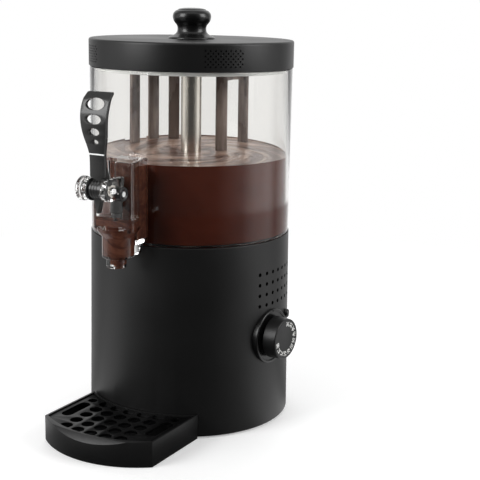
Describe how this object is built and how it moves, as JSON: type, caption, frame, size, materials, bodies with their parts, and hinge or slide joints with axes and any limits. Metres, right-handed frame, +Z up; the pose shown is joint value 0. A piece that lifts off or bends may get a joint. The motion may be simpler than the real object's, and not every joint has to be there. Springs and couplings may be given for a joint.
{
  "type": "hot chocolate dispenser",
  "caption": "Table-top hot chocolate dispenser: clear lift-off tank on a round heated base, stirrer, lidded top, front lever tap, side heat dial and pull-out drip tray.",
  "frame": {"origin": "middle of the whole outline on the floor plane, under the rubber feet", "axes": "+Z up, -Y towards the tap and the drip tray, +X towards the heat dial"},
  "size_m": [0.1996, 0.2578, 0.3637],
  "materials": {
    "black_plastic": "fine matte black plastic",
    "gloss_black_plastic": "polished black plastic",
    "clear_plastic": "clear polished plastic",
    "smoked_plastic": "smoked grey-brown plastic",
    "grey_plastic": "grey technical plastic",
    "pale_plastic": "off-white technical plastic",
    "black_rubber": "black rubber",
    "pale_rubber": "translucent white silicone",
    "bright_steel": "bright stainless steel"
  },
  "bodies": {
    "base": {"base_shell": "black_plastic", "base_plate": "black_plastic", "foot_1": "black_rubber", "foot_2": "black_rubber", "foot_3": "black_rubber", "foot_4": "black_rubber", "base_screw_1": "bright_steel", "base_screw_2": "bright_steel", "base_screw_3": "bright_steel", "cable_inlet": "black_rubber", "terminal_block": "pale_plastic", "motor_plate": "bright_steel", "motor_plate_screw_1": "bright_steel", "motor_plate_screw_2": "bright_steel", "motor_plate_screw_3": "bright_steel", "gearbox": "grey_plastic", "motor": "bright_steel", "shaft_seal": "black_rubber", "warming_plate": "bright_steel", "heating_element": "bright_steel", "thermostat": "grey_plastic", "tank_seal": "pale_rubber", "dial_switch": "grey_plastic", "dial_nut": "bright_steel", "dial_bezel": "gloss_black_plastic", "pilot_lamp": "gloss_black_plastic"},
    "stirrer": {"drive_shaft": "bright_steel", "drive_dog": "grey_plastic", "stirrer_paddle": "smoked_plastic", "stirrer_column": "bright_steel", "column_cap": "black_plastic"},
    "dial": {"dial_knob": "gloss_black_plastic", "dial_spindle": "bright_steel"},
    "tank": {"tank": "clear_plastic", "tap_body": "clear_plastic", "lever_pin": "clear_plastic", "lever_pin_clip": "bright_steel", "lever_washer": "black_rubber", "stop_pin": "gloss_black_plastic", "stem_seal": "black_rubber"},
    "lid": {"lid": "black_plastic", "lid_seal": "pale_rubber", "lid_bush": "pale_plastic", "lid_knob": "gloss_black_plastic", "lid_knob_screw": "bright_steel"},
    "lever": {"tap_lever": "black_plastic"},
    "valve": {"valve_stem": "black_plastic", "valve_plug": "black_rubber"},
    "tray": {"drip_tray": "black_plastic"},
    "grid": {"drip_grid": "black_plastic"}
  },
  "joints": [
    {"name": "stirrer_spin", "type": "hinge", "parent": "base", "child": "stirrer", "pos_m": [-0.00834, 0.03483, 0.18], "axis": [0, 0, 1], "continuous": true},
    {"name": "dial_turn", "type": "hinge", "parent": "base", "child": "dial", "pos_m": [0.09112, 0.02438, 0.0824], "axis": [-0.9945, 0.1045, 0], "range_deg": [0, 270]},
    {"name": "tank_lift", "type": "slide", "parent": "base", "child": "tank", "axis": [0, 0, 1], "range_m": [0, 0.145]},
    {"name": "lid_lift", "type": "slide", "parent": "tank", "child": "lid", "axis": [0, 0, 1], "range_m": [0, 0.06]},
    {"name": "lever_tilt", "type": "hinge", "parent": "tank", "child": "lever", "pos_m": [-0.00834, -0.10317, 0.2225], "axis": [1, 0, 0], "range_deg": [0, 24]},
    {"name": "valve_lift", "type": "slide", "parent": "tank", "child": "valve", "axis": [0, 0, 1], "range_m": [0, 0.0106]},
    {"name": "tray_pull", "type": "slide", "parent": "base", "child": "tray", "axis": [0, -1, 0], "range_m": [0, 0.1]},
    {"name": "grid_lift", "type": "slide", "parent": "tray", "child": "grid", "axis": [0, 0, 1], "range_m": [0, 0.03]}
  ],
  "couplings": [
    {"joint": "valve_lift", "follows": "lever_tilt", "m_per_rad": 0.02476}
  ]
}
